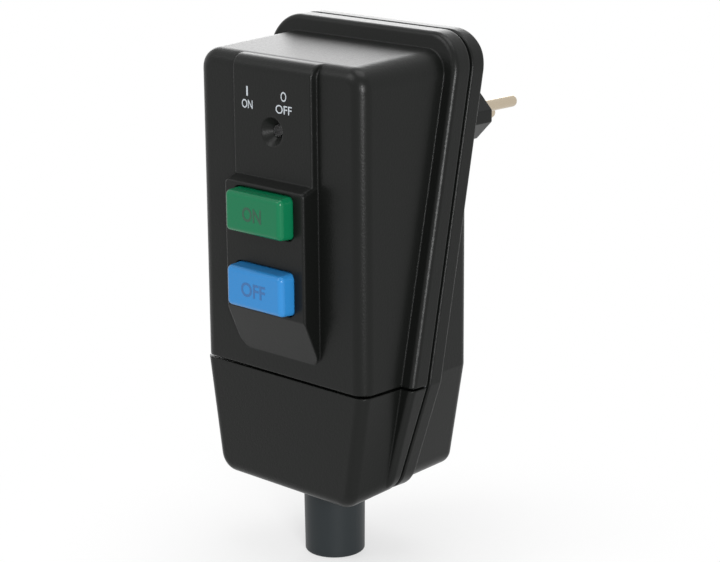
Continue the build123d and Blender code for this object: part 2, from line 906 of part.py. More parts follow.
# Clear lens behind the window
with BuildPart() as indicator_lens:
    rod(0, window_height, lens_radius, lens_back - lens_thickness, lens_back)
    rod(
        0, window_height, window_throat_radius - seat_gap,
        lens_back - lens_thickness - lens_step, lens_back,
    )
finish(indicator_lens, "indicator_lens")


def around_flag(radius, angle):
    """Depth and height of a point around the flag's pivot, with angles up from the front."""
    turn = math.radians(angle)
    return (
        flag_pivot_depth - radius * math.cos(turn),
        flag_pivot_height + radius * math.sin(turn),
    )


def flag_sector(outer, inner, upper, lower, half_width):
    """Curved or solid sector of the flag between two angles."""
    outer_arc = [around_flag(outer, angle) for angle in (upper, (upper + lower) / 2, lower)]
    outer_points = [(at_y(depth), at_z(height)) for depth, height in outer_arc]
    with BuildSketch(side(-half_width)) as outline:
        with BuildLine():
            ThreePointArc(*outer_points)
            if inner > 0:
                inner_arc = [around_flag(inner, angle) for angle in (lower, (upper + lower) / 2, upper)]
                inner_points = [(at_y(depth), at_z(height)) for depth, height in inner_arc]
                ThreePointArc(*inner_points)
                Line(outer_points[-1], inner_points[0])
                Line(inner_points[-1], outer_points[0])
            else:
                hub = (at_y(flag_pivot_depth), at_z(flag_pivot_height))
                Line(outer_points[-1], hub)
                Line(hub, outer_points[0])
        make_face()
    extrude(outline.sketch, amount=2 * half_width)


# Turning flag that shows through the window, driven by the carriage
half_swing = math.radians(flag_swing_angle / 2)
with BuildPart() as indicator_flag:
    flag_sector(flag_radius, flag_radius - flag_skin, flag_upper_angle, -flag_lower_angle, flag_half_width)
    flag_sector(flag_radius - flag_skin / 2, 0, flag_upper_angle, -flag_lower_angle, flag_web / 2)
    axle(flag_pivot_depth, flag_pivot_height, flag_hub_radius, -flag_half_width, flag_half_width)
    for x0 in (-fork_spread - fork_thickness, fork_spread):
        fork_plane = Plane(
            origin=(x0, at_y(flag_pivot_depth), at_z(flag_pivot_height)),
            x_dir=(0, math.sin(half_swing), -math.cos(half_swing)),
            z_dir=(1, 0, 0),
        )
        with BuildSketch(fork_plane) as fork:
            with Locations((fork_reach / 2, 0)):
                Rectangle(fork_reach, 2 * fork_half_width)
            with Locations((drive_drop + fork_reach / 2, 0)):
                Rectangle(
                    fork_reach + 2 * drive_radius + 2 * running_gap,
                    2 * fork_slot_half_width,
                    mode=Mode.SUBTRACT,
                )
        extrude(amount=fork_thickness)
    axle(flag_pivot_depth, flag_pivot_height, flag_pin_radius + bore_gap,
         -flag_half_width - overrun, flag_half_width + overrun, mode=Mode.SUBTRACT)
finish(indicator_flag, "indicator_flag")

with BuildPart() as red_target:
    flag_sector(
        flag_radius + target_thickness, flag_radius, -target_upper_angle, -flag_lower_angle, flag_half_width,
    )
finish(red_target, "red_target")

with BuildPart() as flag_pin:
    axle(
        flag_pivot_depth, flag_pivot_height, flag_pin_radius,
        -ear_inside - ear_thickness, ear_inside + ear_thickness,
    )
finish(flag_pin, "flag_pin")

# Frame that guides the buttons and the carriage
with BuildPart() as mechanism_frame:
    bar(-frame_half_width, frame_half_width, frame_front, frame_front + frame_wall, frame_foot, frame_top)
    for x0 in (-frame_half_width, frame_half_width - frame_wall):
        bar(x0, x0 + frame_wall, frame_front, board_front, frame_foot, frame_top)
    for height in (test_height, reset_height):
        rod(0, height, guide_radius, frame_front - guide_length, frame_front + seat_gap)
        rod(0, height, stem_radius + stem_gap, frame_front - guide_length - overrun,
            frame_front + frame_wall + overrun, mode=Mode.SUBTRACT)
    for x0 in (-ear_inside - ear_thickness, ear_inside):
        bar(
            x0, x0 + ear_thickness, frame_front, flag_pivot_depth + ear_reach,
            ear_foot, flag_pivot_height + ear_rise,
        )
    axle(flag_pivot_depth, flag_pivot_height, flag_pin_radius + bore_gap,
         -frame_half_width, frame_half_width, mode=Mode.SUBTRACT)
    axle(flag_pivot_depth, flag_pivot_height, flag_radius + target_thickness + flag_gap,
         -flag_half_width - flag_gap, flag_half_width + flag_gap, mode=Mode.SUBTRACT)
    # Grooves that guide the carriage's tongues
    groove_half = carriage_half_width + frame_wall + tongue_reach + running_gap
    bar(
        -groove_half, groove_half,
        carriage_front + tongue_inset - carriage_travel - running_gap,
        carriage_front + carriage_thickness - tongue_inset + running_gap,
        reset_height - tongue_half_height - running_gap, reset_height + tongue_half_height + running_gap,
        mode=Mode.SUBTRACT,
    )
finish(mechanism_frame, "mechanism_frame")

# Sliding carriage with the slot for the latch plate and the finger that turns the flag
with BuildPart() as contact_carriage:
    bar(
        -carriage_half_width, carriage_half_width,
        carriage_front, carriage_front + carriage_thickness, carriage_foot, carriage_top,
    )
    tongue_end = carriage_half_width + frame_wall + tongue_reach
    bar(
        -tongue_end, tongue_end,
        carriage_front + tongue_inset, carriage_front + carriage_thickness - tongue_inset,
        reset_height - tongue_half_height, reset_height + tongue_half_height,
    )
    finger_front = carriage_front
    finger_back = carriage_front + finger_thickness
    slab(
        [
            (finger_front, carriage_top - overrun),
            (finger_back, carriage_top - overrun),
            (finger_back, drive_height + finger_bar / 2),
            (drive_depth - finger_bar / 2, drive_height + finger_bar / 2),
            (drive_depth - finger_bar / 2, drive_height - finger_bar / 2),
            (finger_front, drive_height - finger_bar / 2),
        ],
        -finger_half_width, finger_half_width,
    )
    axle(
        drive_depth, drive_height, drive_radius, -fork_spread - fork_thickness,
        fork_spread + fork_thickness,
    )
    rod(0, reset_height, stem_radius + stem_gap, carriage_front - overrun,
        carriage_front + carriage_thickness + overrun, mode=Mode.SUBTRACT)
    bar(
        -plate_half_width - running_gap, plate_half_width + running_gap,
        plate_front - running_gap, plate_back + running_gap,
        carriage_foot - overrun, carriage_top + overrun, mode=Mode.SUBTRACT,
    )
finish(contact_carriage, "contact_carriage")

# Latch plate with its keyhole
with BuildPart() as latch_plate:
    bar(
        -plate_half_width, plate_half_width, plate_front, plate_back,
        carriage_foot, carriage_top - plate_top_drop,
    )
    bar(-tab_half_width, tab_half_width, plate_front, plate_back, tab_foot, carriage_foot)
    rod(
        0, reset_height, stem_radius + stem_gap, plate_front - overrun,
        plate_back + overrun, mode=Mode.SUBTRACT,
    )
    rod(0, reset_height + latch_travel, neck_radius + neck_gap, plate_front - overrun,
        plate_back + overrun, mode=Mode.SUBTRACT)
    bar(
        -neck_radius - neck_gap, neck_radius + neck_gap, plate_front - overrun, plate_back + overrun,
        reset_height, reset_height + latch_travel, mode=Mode.SUBTRACT,
    )
finish(latch_plate, "latch_plate")

# Contact bridges on the carriage
with BuildPart() as moving_contacts:
    for x in (-contact_x, contact_x):
        bar(
            x - bridge_width / 2, x + bridge_width / 2, carriage_front - bridge_thickness, carriage_front,
            reset_height - bridge_half_height, reset_height + bridge_half_height,
        )
        for height in (reset_height - contact_spread, reset_height + contact_spread):
            rod(
                x, height, moving_tip_radius,
                carriage_front - bridge_thickness - moving_tip_height, carriage_front,
            )
finish(moving_contacts, "moving_contacts")

# Fixed contacts, bent straps that run back along the frame to the board
strap_outer = frame_half_width - frame_wall - seat_gap
with BuildPart() as fixed_contacts:
    for x_sign in (-1, 1):
        for height in (reset_height - contact_spread, reset_height + contact_spread):
            low = height - strap_width / 2 + seat_gap
            high = height + strap_width / 2 - seat_gap
            plate_ends = sorted((x_sign * (contact_x - fixed_tip_radius), x_sign * strap_outer))
            leg_ends = sorted((x_sign * (strap_outer - strap_thickness), x_sign * strap_outer))
            strap_front = frame_front + frame_wall
            bar(*plate_ends, strap_front, strap_front + strap_thickness, low, high)
            bar(*leg_ends, strap_front, board_front, low, high)
            rod(x_sign * contact_x, height, fixed_tip_radius, strap_front + strap_thickness, fixed_tip_end)
finish(fixed_contacts, "fixed_contacts")

# Spring that opens the contacts
with BuildPart() as carriage_spring:
    start = Plane(origin=(0, at_y(frame_front + frame_wall), at_z(reset_height)), z_dir=(0, 1, 0))
    add(coil_spring(
        start, carriage_spring_radius, carriage_spring_wire,
        carriage_front - frame_front - frame_wall, carriage_spring_turns,
    ))
finish(carriage_spring, "carriage_spring")

# Trip relay with its coil, magnet and plunger
with BuildPart() as trip_relay_case:
    bar(-relay_half_width, relay_half_width, relay_front, board_front, relay_foot, relay_top)
    bar(
        relay_wall - relay_half_width, relay_half_width - relay_wall,
        relay_front + relay_wall, board_front - relay_wall,
        relay_foot + relay_wall, relay_top - relay_wall, mode=Mode.SUBTRACT,
    )
    post(0, plunger_depth, plunger_radius + plunger_gap, relay_top - 2 * relay_wall,
         relay_top + overrun, mode=Mode.SUBTRACT)
finish(trip_relay_case, "trip_relay_case")

magnet_foot = relay_foot + relay_wall
coil_foot = magnet_foot + magnet_share * (relay_top - relay_foot)
coil_top = relay_top - relay_wall - seat_gap
with BuildPart() as trip_coil:
    post(0, plunger_depth, coil_radius, coil_foot, coil_top)
    post(
        0, plunger_depth, plunger_radius + plunger_gap, coil_foot - overrun,
        coil_top + overrun, mode=Mode.SUBTRACT,
    )
finish(trip_coil, "trip_coil")

with BuildPart() as trip_magnet:
    post(0, plunger_depth, magnet_radius, magnet_foot, coil_foot)
finish(trip_magnet, "trip_magnet")

with BuildPart() as trip_plunger:
    post(0, plunger_depth, plunger_radius, relay_top - plunger_insertion, plunger_top)
    post(0, plunger_depth, plunger_head_radius, plunger_top - plunger_head_thickness, plunger_top)
finish(trip_plunger, "trip_plunger")

with BuildPart() as plunger_spring:
    start = Plane(origin=(0, at_y(plunger_depth), at_z(relay_top)), z_dir=(0, 0, 1))
    add(coil_spring(
        start, plunger_spring_radius, plunger_spring_wire,
        plunger_top - plunger_head_thickness - relay_top, plunger_spring_turns,
    ))
finish(plunger_spring, "plunger_spring")

# Leaf contact behind the test button
leaf_front = test_stem_end + test_travel + running_gap
leaf_half_width = 3 * stem_radius
with BuildPart() as test_contact:
    bar(
        -leaf_half_width, leaf_half_width, leaf_front, leaf_front + strap_thickness,
        test_height - stem_radius, test_height + stem_radius,
    )
    for x0 in (-leaf_half_width, leaf_half_width - strap_thickness):
        bar(
            x0, x0 + strap_thickness, frame_front + frame_wall, leaf_front + strap_thickness,
            test_height - stem_radius, test_height + stem_radius,
        )
finish(test_contact, "test_contact")

# Circuit board, its screws and the parts on it
board_screw_places = [
    (x, height)
    for x in (-board_screw_x, board_screw_x)
    for height in (board_foot + board_screw_inset, board_top - board_screw_inset)
]
with BuildPart() as circuit_board:
    board_back = board_front + board_thickness
    bar(-board_half_width, board_half_width, board_front, board_back, board_foot, board_top)
    for x, height in board_screw_places:
        rod(
            x, height, board_screw_radius + seat_gap, board_front - overrun,
            board_back + overrun, mode=Mode.SUBTRACT,
        )
finish(circuit_board, "circuit_board")

with BuildPart() as board_screws:
    for x, height in board_screw_places:
        rod(x, height, board_screw_head, board_front - board_screw_head_height, board_front)
        rod(x, height, board_screw_radius, board_front, board_front + board_screw_length)
        bar(
            x - board_screw_head, x + board_screw_head,
            board_front - board_screw_head_height - overrun, board_front - board_screw_head_height / 2,
            height - driver_slot / 2, height + driver_slot / 2, mode=Mode.SUBTRACT,
        )
finish(board_screws, "board_screws")

with BuildPart() as capacitor:
    bar(
        part_column - capacitor_half_width, part_column + capacitor_half_width,
        board_front - capacitor_depth, board_front,
        test_height - capacitor_half_height, test_height + capacitor_half_height,
    )
    fillet(capacitor.edges().filter_by(Axis.Y), small_edge_radius)
finish(capacitor, "capacitor")

with BuildPart() as varistor:
    rod(part_column, reset_height, varistor_radius, board_front - varistor_depth, board_front)
    fillet(varistor.faces().sort_by(Axis.Y)[0].edges(), small_edge_radius)
finish(varistor, "varistor")

with BuildPart() as control_chip:
    bar(
        -part_column - chip_half_width, chip_half_width - part_column, board_front - chip_depth, board_front,
        reset_height - chip_half_height, reset_height + chip_half_height,
    )
    rod(
        -part_column - chip_half_width / 2, reset_height + chip_half_height / 2, small_edge_radius,
        board_front - chip_depth - overrun, board_front - chip_depth / 2, mode=Mode.SUBTRACT,
    )
finish(control_chip, "control_chip")

with BuildPart() as test_resistor:
    post(
        -part_column, board_front - resistor_radius, resistor_radius,
        test_height - resistor_length / 2, test_height + resistor_length / 2,
    )
finish(test_resistor, "test_resistor")

# Sense core around the two supply wires
core_foot = partition_thickness
core_top = core_foot + winding_thickness + core_thickness
with BuildPart() as sense_core:
    post(0, core_depth, core_outer_radius - winding_thickness, core_foot + winding_thickness, core_top)
    post(
        0, core_depth, core_inner_radius + winding_thickness,
        core_foot, core_top + overrun, mode=Mode.SUBTRACT,
    )
finish(sense_core, "sense_core")

with BuildPart() as sense_winding:
    post(0, core_depth, core_outer_radius, core_foot, core_top + winding_thickness)
    post(0, core_depth, core_inner_radius, core_foot - overrun, core_top + 2 * overrun, mode=Mode.SUBTRACT)
    add(sense_core.part, mode=Mode.SUBTRACT)
finish(sense_winding, "sense_winding")

wire_top = core_top + winding_thickness + wire_bend_radius
with BuildPart() as load_wires:
    for x in (-wire_spread, wire_spread):
        with BuildLine() as route:
            FilletPolyline(
                (x, at_y(core_depth), at_z(terminal_top)),
                (x, at_y(core_depth), at_z(wire_top)),
                (x, at_y(board_front), at_z(wire_top)),
                radius=wire_bend_radius,
            )
        with BuildSketch(Plane(origin=route.line @ 0, z_dir=(0, 0, 1))) as wire_end:
            Circle(wire_radius)
        sweep(wire_end.sketch, path=route.line)
finish(load_wires, "load_wires")

# Earth strap from the earth pin to the terminal block
with BuildPart() as earth_strap:
    strap_back = earth_strap_front + earth_strap_thickness
    bar(
        -earth_strap_half_width, earth_strap_half_width, earth_strap_front, strap_back,
        terminal_top, earth_height + earth_strap_half_width,
    )
    rod(0, earth_height, earth_strap_half_width + pin_radius / 2, earth_strap_front, strap_back)
    rod(
        0, earth_height, pin_shank_radius + bore_gap, earth_strap_front - overrun,
        strap_back + overrun, mode=Mode.SUBTRACT,
    )
finish(earth_strap, "earth_strap")

# Terminal block with three clamping screws
terminal_middle = (terminal_top + terminal_foot) / 2
terminal_places = [step * terminal_pitch for step in (-1, 0, 1)]
with BuildPart() as terminal_block:
    bar(-terminal_half_width, terminal_half_width, terminal_front, rear_inner, terminal_foot, terminal_top)
    terminal_depth = terminal_front + terminal_screw_length
    for x in terminal_places:
        post(x, terminal_depth, terminal_bore_radius, terminal_foot - overrun,
             terminal_middle + terminal_bore_radius, mode=Mode.SUBTRACT)
        rod(x, terminal_middle, terminal_screw_radius + bore_gap, terminal_front - overrun,
            terminal_depth, mode=Mode.SUBTRACT)
finish(terminal_block, "terminal_block")

with BuildPart() as terminal_screws:
    for x in terminal_places:
        rod(x, terminal_middle, terminal_head_radius, terminal_front - terminal_head_height, terminal_front)
        rod(x, terminal_middle, terminal_screw_radius, terminal_front, terminal_depth)
        bar(
            x - terminal_head_radius, x + terminal_head_radius,
            terminal_front - terminal_head_height - overrun, terminal_front - terminal_head_height / 2,
            terminal_middle - driver_slot / 2, terminal_middle + driver_slot / 2, mode=Mode.SUBTRACT,
        )
finish(terminal_screws, "terminal_screws")

# Clamp bar over the cable and its two screws
with BuildPart() as cable_clamp:
    bar(
        -clamp_half_width, clamp_half_width, clamp_seat - clamp_thickness, clamp_seat,
        clamp_height - clamp_half_height, clamp_height + clamp_half_height,
    )
    fillet(cable_clamp.edges().filter_by(Axis.Y), small_edge_radius)
    post(0, cable_depth, cable_radius, clamp_height - 2 * clamp_half_height,
         clamp_height + 2 * clamp_half_height, mode=Mode.SUBTRACT)
    for x in (-clamp_post_x, clamp_post_x):
        rod(x, clamp_height, clamp_screw_radius + bore_gap, clamp_seat - clamp_thickness - overrun,
            clamp_seat + overrun, mode=Mode.SUBTRACT)
finish(cable_clamp, "cable_clamp")

with BuildPart() as clamp_screws:
    head_seat = clamp_seat - clamp_thickness
    for x in (-clamp_post_x, clamp_post_x):
        rod(x, clamp_height, clamp_head_radius, head_seat - clamp_head_height, head_seat)
        rod(x, clamp_height, clamp_screw_radius, head_seat, clamp_seat + clamp_screw_length - overrun)
        bar(
            x - clamp_head_radius, x + clamp_head_radius,
            head_seat - clamp_head_height - overrun, head_seat - clamp_head_height / 2,
            clamp_height - driver_slot / 2, clamp_height + driver_slot / 2, mode=Mode.SUBTRACT,
        )
finish(clamp_screws, "clamp_screws")

# Rubber sleeve at the cable entry
sleeve_top = -rear_floor - seat_gap
sleeve_foot = sleeve_top - sleeve_length
lip_foot = rear_room_floor + seat_gap
with BuildPart() as cable_sleeve:
    with BuildSketch(level(sleeve_foot)) as foot_outline:
        with Locations((0, at_y(cable_depth))):
            Circle(sleeve_foot_radius)
    with BuildSketch(level(sleeve_top)) as top_outline:
        with Locations((0, at_y(cable_depth))):
            Circle(sleeve_top_radius)
    loft()
    fillet(cable_sleeve.faces().sort_by(Axis.Z)[0].edges(), sleeve_edge_radius)
    post(0, cable_depth, sleeve_neck_radius, sleeve_top, lip_foot)
    post(0, cable_depth, sleeve_lip_radius, lip_foot, lip_foot + sleeve_lip_thickness)
    post(0, cable_depth, cable_radius, sleeve_foot - overrun, lip_foot + sleeve_lip_thickness + overrun,
         mode=Mode.SUBTRACT)
finish(cable_sleeve, "cable_sleeve")


def housing_screw(x, height):
    """Long screw from the back, with a slotted head sunk in the rear shell."""
    seat = body_depth - screw_sink
    joint = cover_back + joint_tilt * height
    rod(x, height, screw_head_radius, seat, seat + screw_head_height)
    rod(x, height, screw_radius, joint - screw_bite, seat)
    bar(
        x - screw_head_radius, x + screw_head_radius,
        seat + screw_head_height / 2, seat + screw_head_height + overrun,
        height - driver_slot / 2, height + driver_slot / 2, mode=Mode.SUBTRACT,
    )


with BuildPart() as housing_screws:
    for x, height in screw_places:
        housing_screw(x, height)
finish(housing_screws, "housing_screws")

with BuildPart() as terminal_cover_screws:
    for x, height in terminal_screw_places:
        housing_screw(x, height)
finish(terminal_cover_screws, "terminal_cover_screws")
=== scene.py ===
import json
import math

import bpy
from mathutils import Matrix, Vector


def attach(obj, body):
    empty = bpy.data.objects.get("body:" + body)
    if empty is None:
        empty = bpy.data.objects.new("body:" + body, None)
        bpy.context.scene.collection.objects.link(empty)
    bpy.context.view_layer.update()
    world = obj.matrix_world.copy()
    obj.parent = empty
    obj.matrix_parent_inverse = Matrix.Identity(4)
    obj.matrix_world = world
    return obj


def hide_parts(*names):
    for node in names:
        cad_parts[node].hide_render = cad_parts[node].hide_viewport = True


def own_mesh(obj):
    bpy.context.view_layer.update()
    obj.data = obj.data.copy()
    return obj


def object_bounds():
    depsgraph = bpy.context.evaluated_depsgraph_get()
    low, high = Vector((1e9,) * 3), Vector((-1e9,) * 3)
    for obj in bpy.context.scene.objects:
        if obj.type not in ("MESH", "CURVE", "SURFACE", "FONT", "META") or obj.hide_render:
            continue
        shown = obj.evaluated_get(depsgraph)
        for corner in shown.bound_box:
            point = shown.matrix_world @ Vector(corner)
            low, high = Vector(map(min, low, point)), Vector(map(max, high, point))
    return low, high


# Looks of an adapter plug with a residual current switch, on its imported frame.

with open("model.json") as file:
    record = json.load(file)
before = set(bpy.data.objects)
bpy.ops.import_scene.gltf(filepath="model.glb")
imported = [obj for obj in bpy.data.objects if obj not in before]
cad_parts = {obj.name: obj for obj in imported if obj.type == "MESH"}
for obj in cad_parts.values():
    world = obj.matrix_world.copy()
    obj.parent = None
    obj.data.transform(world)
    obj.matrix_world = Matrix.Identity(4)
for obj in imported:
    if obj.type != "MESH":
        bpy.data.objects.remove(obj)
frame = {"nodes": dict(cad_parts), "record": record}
cad_low, cad_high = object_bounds()
nodes = frame["nodes"]
scene = bpy.context.scene

MM = 0.001
FRONT_Y = -82.2  # the box's front face, in millimetres
SEAM_Z = -74.15  # the seam between the two front covers, in millimetres


def at(x, depth, height):
    """Point in metres, from millimetres: X, behind the front face and above the seam."""
    return Vector((x * MM, (FRONT_Y + depth) * MM, (SEAM_Z + height) * MM))


# Materials. Grain sizes, depths and edge radii are in millimetres.

GRAIN_DETAIL = 3.0
EDGE_SAMPLES = 6
PLASTIC_SPREAD = 0.05  # how far the roughness varies to each side
METAL_SPREAD = 0.06
METAL_GRAIN_SIZE, METAL_GRAIN, METAL_GRAIN_DEPTH = 0.4, 0.15, 0.01
METAL_EDGE = 0.1
RUBBER_GRAIN, RUBBER_GRAIN_DEPTH = 0.6, 0.08
GLINT_START, GLINT_FULL = 0.5, 0.68  # grain heights where the painted glints (light specks painted into the colour) begin and are full
WAVE_PERIOD = 0.314  # the wave texture's period in metres at scale 1
WIRE_BUMP, WIRE_DEPTH = 0.8, 0.1


def new_material(name):
    material = bpy.data.materials.new(name)
    material.use_nodes = True
    tree = material.node_tree
    return material, tree, tree.nodes["Principled BSDF"]


def set_inputs(node, **values):
    """Set a node's inputs, named with underscores for spaces."""
    for name, value in values.items():
        node.inputs[name.replace("_", " ")].default_value = value


def add_bump(tree, shader, height, strength, distance):
    bump = tree.nodes.new("ShaderNodeBump")
    set_inputs(bump, Strength=strength, Distance=distance * MM)
    tree.links.new(height, bump.inputs["Height"])
    tree.links.new(bump.outputs["Normal"], shader.inputs["Normal"])
    return bump


def add_grain(tree, shader, size, strength, distance, bevel):
    """Fine moulded grain, and edges that look rounded by the bevel radius."""
    place = tree.nodes.new("ShaderNodeTexCoord")
    noise = tree.nodes.new("ShaderNodeTexNoise")
    set_inputs(noise, Scale=1.0 / (size * MM), Detail=GRAIN_DETAIL)
    tree.links.new(place.outputs["Object"], noise.inputs["Vector"])
    bump = add_bump(tree, shader, noise.outputs["Fac"], strength, distance)
    if bevel > 0:
        edge = tree.nodes.new("ShaderNodeBevel")
        edge.samples = EDGE_SAMPLES
        set_inputs(edge, Radius=bevel * MM)
        tree.links.new(edge.outputs["Normal"], bump.inputs["Normal"])
    return noise.outputs["Fac"]


def vary(tree, target, source, low, high):
    """Let a value between 0 and 1 set a shader's number between two values."""
    scale = tree.nodes.new("ShaderNodeMapRange")
    set_inputs(scale, To_Min=low, To_Max=high)
    tree.links.new(source, scale.inputs["Value"])
    tree.links.new(scale.outputs["Result"], target)


def plastic(
    name, colour, roughness=0.4, specular=0.5,
    size=0.25, grain=0.25, depth=0.02, bevel=0.25,
):
    material, tree, shader = new_material(name)
    set_inputs(shader, Base_Color=(*colour, 1), Specular_IOR_Level=specular)
    height = add_grain(tree, shader, size, grain, depth, bevel)
    vary(
        tree, shader.inputs["Roughness"], height,
        roughness - PLASTIC_SPREAD, roughness + PLASTIC_SPREAD,
    )
    return material


def metal(name, colour, roughness):
    material, tree, shader = new_material(name)
    set_inputs(shader, Base_Color=(*colour, 1), Metallic=1.0)
    height = add_grain(
        tree, shader, METAL_GRAIN_SIZE, METAL_GRAIN, METAL_GRAIN_DEPTH, METAL_EDGE,
    )
    vary(
        tree, shader.inputs["Roughness"], height,
        roughness - METAL_SPREAD, roughness + METAL_SPREAD,
    )
    return material


def painted_glint_rubber(name, colour, glint_colour, size):
    """Dark rubber with painted glints: light specks painted into its colour on the grain's high
    points, for the seal in the joint.
    """
    material, tree, shader = new_material(name)
    set_inputs(shader, Roughness=0.6)
    height = add_grain(tree, shader, size, RUBBER_GRAIN, RUBBER_GRAIN_DEPTH, 0)
    ramp = tree.nodes.new("ShaderNodeValToRGB")
    dark, light = ramp.color_ramp.elements
    # The light end of the ramp is the painted glint colour, set into the base colour.
    dark.position, dark.color = GLINT_START, (*colour, 1)
    light.position, light.color = GLINT_FULL, (*glint_colour, 1)
    tree.links.new(height, ramp.inputs["Fac"])
    tree.links.new(ramp.outputs["Color"], shader.inputs["Base Color"])
    return material


def clear(name):
    material, tree, shader = new_material(name)
    set_inputs(
        shader, Base_Color=(0.4, 0.41, 0.41, 1), Transmission_Weight=1.0,
        Roughness=0.04, IOR=1.35,
    )
    return material


def wound(name, colour, pitch):
    """Enamelled wire laid round an upright axis, one turn above the other."""
    material, tree, shader = new_material(name)
    set_inputs(shader, Base_Color=(*colour, 1), Metallic=0.8, Roughness=0.32)
    place = tree.nodes.new("ShaderNodeTexCoord")
    wave = tree.nodes.new("ShaderNodeTexWave")
    wave.bands_direction = "Z"
    set_inputs(wave, Scale=WAVE_PERIOD / (pitch * MM))
    tree.links.new(place.outputs["Object"], wave.inputs["Vector"])
    add_bump(tree, shader, wave.outputs["Fac"], WIRE_BUMP, WIRE_DEPTH)
    return material


PLASTICS = {
    "housing_black": dict(
        colour=(0.005, 0.0055, 0.005), roughness=0.3, specular=0.17,
        size=0.7, grain=0.5, depth=0.1, bevel=0.7,
    ),
    "plug_black": dict(colour=(0.005, 0.0055, 0.005), roughness=0.3, specular=0.17),
    "sleeve_rubber": dict(colour=(0.014, 0.018, 0.02), roughness=0.42, specular=0.22, size=0.5),
    "button_green": dict(colour=(0.003, 0.128, 0.052), roughness=0.2, specular=0.2, bevel=0.4),
    "button_blue": dict(colour=(0.022, 0.18, 0.44), roughness=0.2, specular=0.25, bevel=0.4),
    "flag_black": dict(colour=(0.01, 0.01, 0.01), roughness=0.6),
    "target_red": dict(colour=(0.6, 0.02, 0.02), roughness=0.5),
    "frame_plastic": dict(colour=(0.42, 0.41, 0.38), roughness=0.45),
    "carriage_plastic": dict(colour=(0.7, 0.68, 0.62), roughness=0.42),
    "relay_plastic": dict(colour=(0.72, 0.72, 0.69)),
    "ferrite": dict(colour=(0.05, 0.05, 0.055), roughness=0.55),
    "board_green": dict(colour=(0.02, 0.16, 0.06), roughness=0.3, size=2.0),
    "capacitor_yellow": dict(colour=(0.72, 0.5, 0.06), roughness=0.2),
    "varistor_blue": dict(colour=(0.04, 0.16, 0.45), roughness=0.25),
    "chip_black": dict(colour=(0.015, 0.015, 0.016), roughness=0.5),
    "resistor_tan": dict(colour=(0.6, 0.45, 0.28), roughness=0.25),
    "wire_brown": dict(colour=(0.13, 0.05, 0.02)),
    "terminal_white": dict(colour=(0.74, 0.74, 0.72), roughness=0.42),
    "print_white": dict(colour=(0.4, 0.43, 0.46), roughness=0.6, bevel=0),
    "print_green": dict(colour=(0.006, 0.055, 0.026), roughness=0.5, bevel=0),
    "print_blue": dict(colour=(0.018, 0.1, 0.27), roughness=0.5, bevel=0),
}
METALS = {
    "steel": dict(colour=(0.42, 0.42, 0.43), roughness=0.34),
    "spring_steel": dict(colour=(0.48, 0.48, 0.5), roughness=0.28),
    "pin_nickel": dict(colour=(0.51, 0.435, 0.33), roughness=0.24),
    "contact_copper": dict(colour=(0.78, 0.45, 0.28), roughness=0.3),
    "magnet": dict(colour=(0.16, 0.16, 0.17), roughness=0.45),
}
finishes = {name: plastic(name, **look) for name, look in PLASTICS.items()}
finishes.update({name: metal(name, **look) for name, look in METALS.items()})
finishes["lens_clear"] = clear("lens_clear")
# The seal's light specks are painted glints, not grains of the rubber.
finishes["seal_rubber"] = painted_glint_rubber(
    "seal_rubber", colour=(0.012, 0.012, 0.013), glint_colour=(0.22, 0.23, 0.24), size=0.35,
)
finishes["coil_copper"] = wound("coil_copper", colour=(0.62, 0.24, 0.1), pitch=0.35)

slots = {entry["node"]: entry["material_slot"] for entry in frame["record"]["subparts"]}
for name, node in nodes.items():
    node.data.materials.clear()
    node.data.materials.append(finishes[slots[name]])


# Springs, each drawn by a copy of its mesh on the adapter body, in place of the hidden CAD part

def shorten(name):
    coil = bpy.data.objects.new(name + "_coil", nodes[name].data.copy())
    scene.collection.objects.link(coil)
    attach(coil, "adapter_body")
    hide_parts(name)
    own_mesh(coil)


shorten(
    "reset_spring",
)
shorten(
    "test_spring",
)
shorten(
    "carriage_spring",
)
shorten(
    "plunger_spring",
)


# Marks on the label panel and on the buttons, in millimetres

LETTER_THICKNESS = 0.06
LETTER_SINK = 0.02  # how deep the letters' backs lie in the face
TEXT_EXTRUDE = 0.01  # gives the flat text its sides, before it is stretched
PANEL_WEIGHT = 0.006  # how much bolder the letters are than the font
BUTTON_WEIGHT = 0.02
PANEL_DEPTH = -2.3
BUTTON_DEPTH = -11.5


def stretch(values, start, end):
    """The values, moved from their own range to the one from start to end."""
    least, most = min(values), max(values)
    return [start + (value - least) / (most - least) * (end - start) for value in values]


def mark(name, words, x_range, height_range, depth, weight, material, body):
    """Flat letters on a face that looks to the front, stretched to both ranges."""
    curve = bpy.data.curves.new(name, "FONT")
    curve.body = words
    curve.extrude = TEXT_EXTRUDE
    curve.offset = weight
    letters = bpy.data.objects.new(name, curve)
    scene.collection.objects.link(letters)
    graph = bpy.context.evaluated_depsgraph_get()
    mesh = bpy.data.meshes.new_from_object(letters.evaluated_get(graph))
    bpy.data.objects.remove(letters)
    xs, ys, zs = zip(*(tuple(vertex.co) for vertex in mesh.vertices))
    back = depth + LETTER_SINK
    places = zip(
        stretch(xs, *x_range),
        stretch(zs, back, back - LETTER_THICKNESS),
        stretch(ys, *height_range),
    )
    for vertex, place in zip(mesh.vertices, places):
        vertex.co = at(*place)
    mesh.materials.clear()
    mesh.materials.append(finishes[material])
    piece = bpy.data.objects.new(name, mesh)
    scene.collection.objects.link(piece)
    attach(piece, body)


